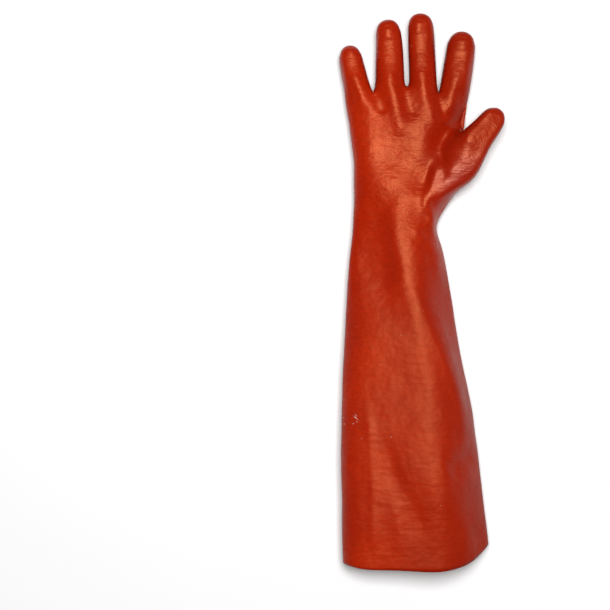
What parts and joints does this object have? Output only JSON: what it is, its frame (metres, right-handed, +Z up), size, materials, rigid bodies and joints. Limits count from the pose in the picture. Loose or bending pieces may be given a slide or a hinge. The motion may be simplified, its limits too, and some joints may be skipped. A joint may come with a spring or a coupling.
{
  "type": "vinyl glove",
  "caption": "Long gauntlet glove for the right hand in glossy vinyl, hollow from the open cuff to the fingertips, lying on its back.",
  "frame": {"origin": "on the surface that the glove lies on, under the middle of its outline", "axes": "+Z up, out of the palm; +Y along the glove from the cuff to the fingertips; +X to the thumb's side"},
  "size_m": [0.1768, 0.5976, 0.0587],
  "materials": {
    "vinyl": "glossy brick-red vinyl, softly rippled by the fine knit that it is dipped on"
  },
  "bodies": {
    "root": {"glove_shell": "vinyl"}
  },
  "joints": []
}
